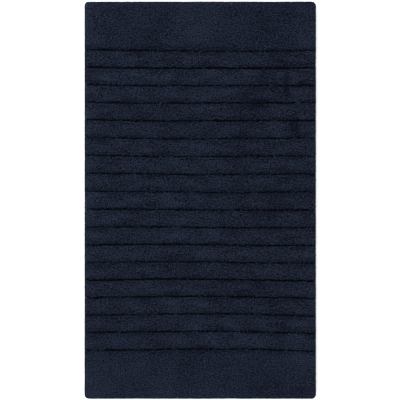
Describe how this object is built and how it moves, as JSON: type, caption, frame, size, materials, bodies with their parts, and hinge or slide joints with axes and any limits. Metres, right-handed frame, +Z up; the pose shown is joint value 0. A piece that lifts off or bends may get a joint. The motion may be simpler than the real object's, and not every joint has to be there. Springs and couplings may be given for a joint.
{
  "type": "bath mat",
  "caption": "Oblong tufted cotton bath mat with cut-pile ribs across it between plain end bands, on a backing cloth with an anti-slip coat and a stitched hem tape.",
  "frame": {"origin": "on the floor, under the middle of the mat", "axes": "+Z up through the pile, +Y along the mat towards its head end, +X across the mat along its ribs"},
  "size_m": [0.5334, 0.9144, 0.017],
  "materials": {
    "pile": "cut cotton pile, dyed navy",
    "backing": "plain woven cotton cloth, dyed navy",
    "coat": "sprayed latex, matt, pale grey",
    "tape": "cotton twill tape, navy",
    "thread": "twisted sewing thread, navy",
    "label": "woven ribbon, white, blank"
  },
  "bodies": {
    "root": {"pile_foot_band": "pile", "pile_rib_01": "pile", "pile_rib_02": "pile", "pile_rib_03": "pile", "pile_rib_04": "pile", "pile_rib_05": "pile", "pile_rib_06": "pile", "pile_rib_07": "pile", "pile_rib_08": "pile", "pile_rib_09": "pile", "pile_rib_10": "pile", "pile_rib_11": "pile", "pile_rib_12": "pile", "pile_rib_13": "pile", "pile_rib_14": "pile", "pile_rib_15": "pile", "pile_rib_16": "pile", "pile_rib_17": "pile", "pile_head_band": "pile", "backing_cloth": "backing", "anti_slip_coat": "coat", "hem_tape_left": "tape", "hem_tape_right": "tape", "hem_tape_head": "tape", "hem_tape_foot": "tape", "hem_thread_outer": "thread", "hem_thread_inner": "thread", "care_label": "label", "care_label_thread": "thread"}
  },
  "joints": []
}
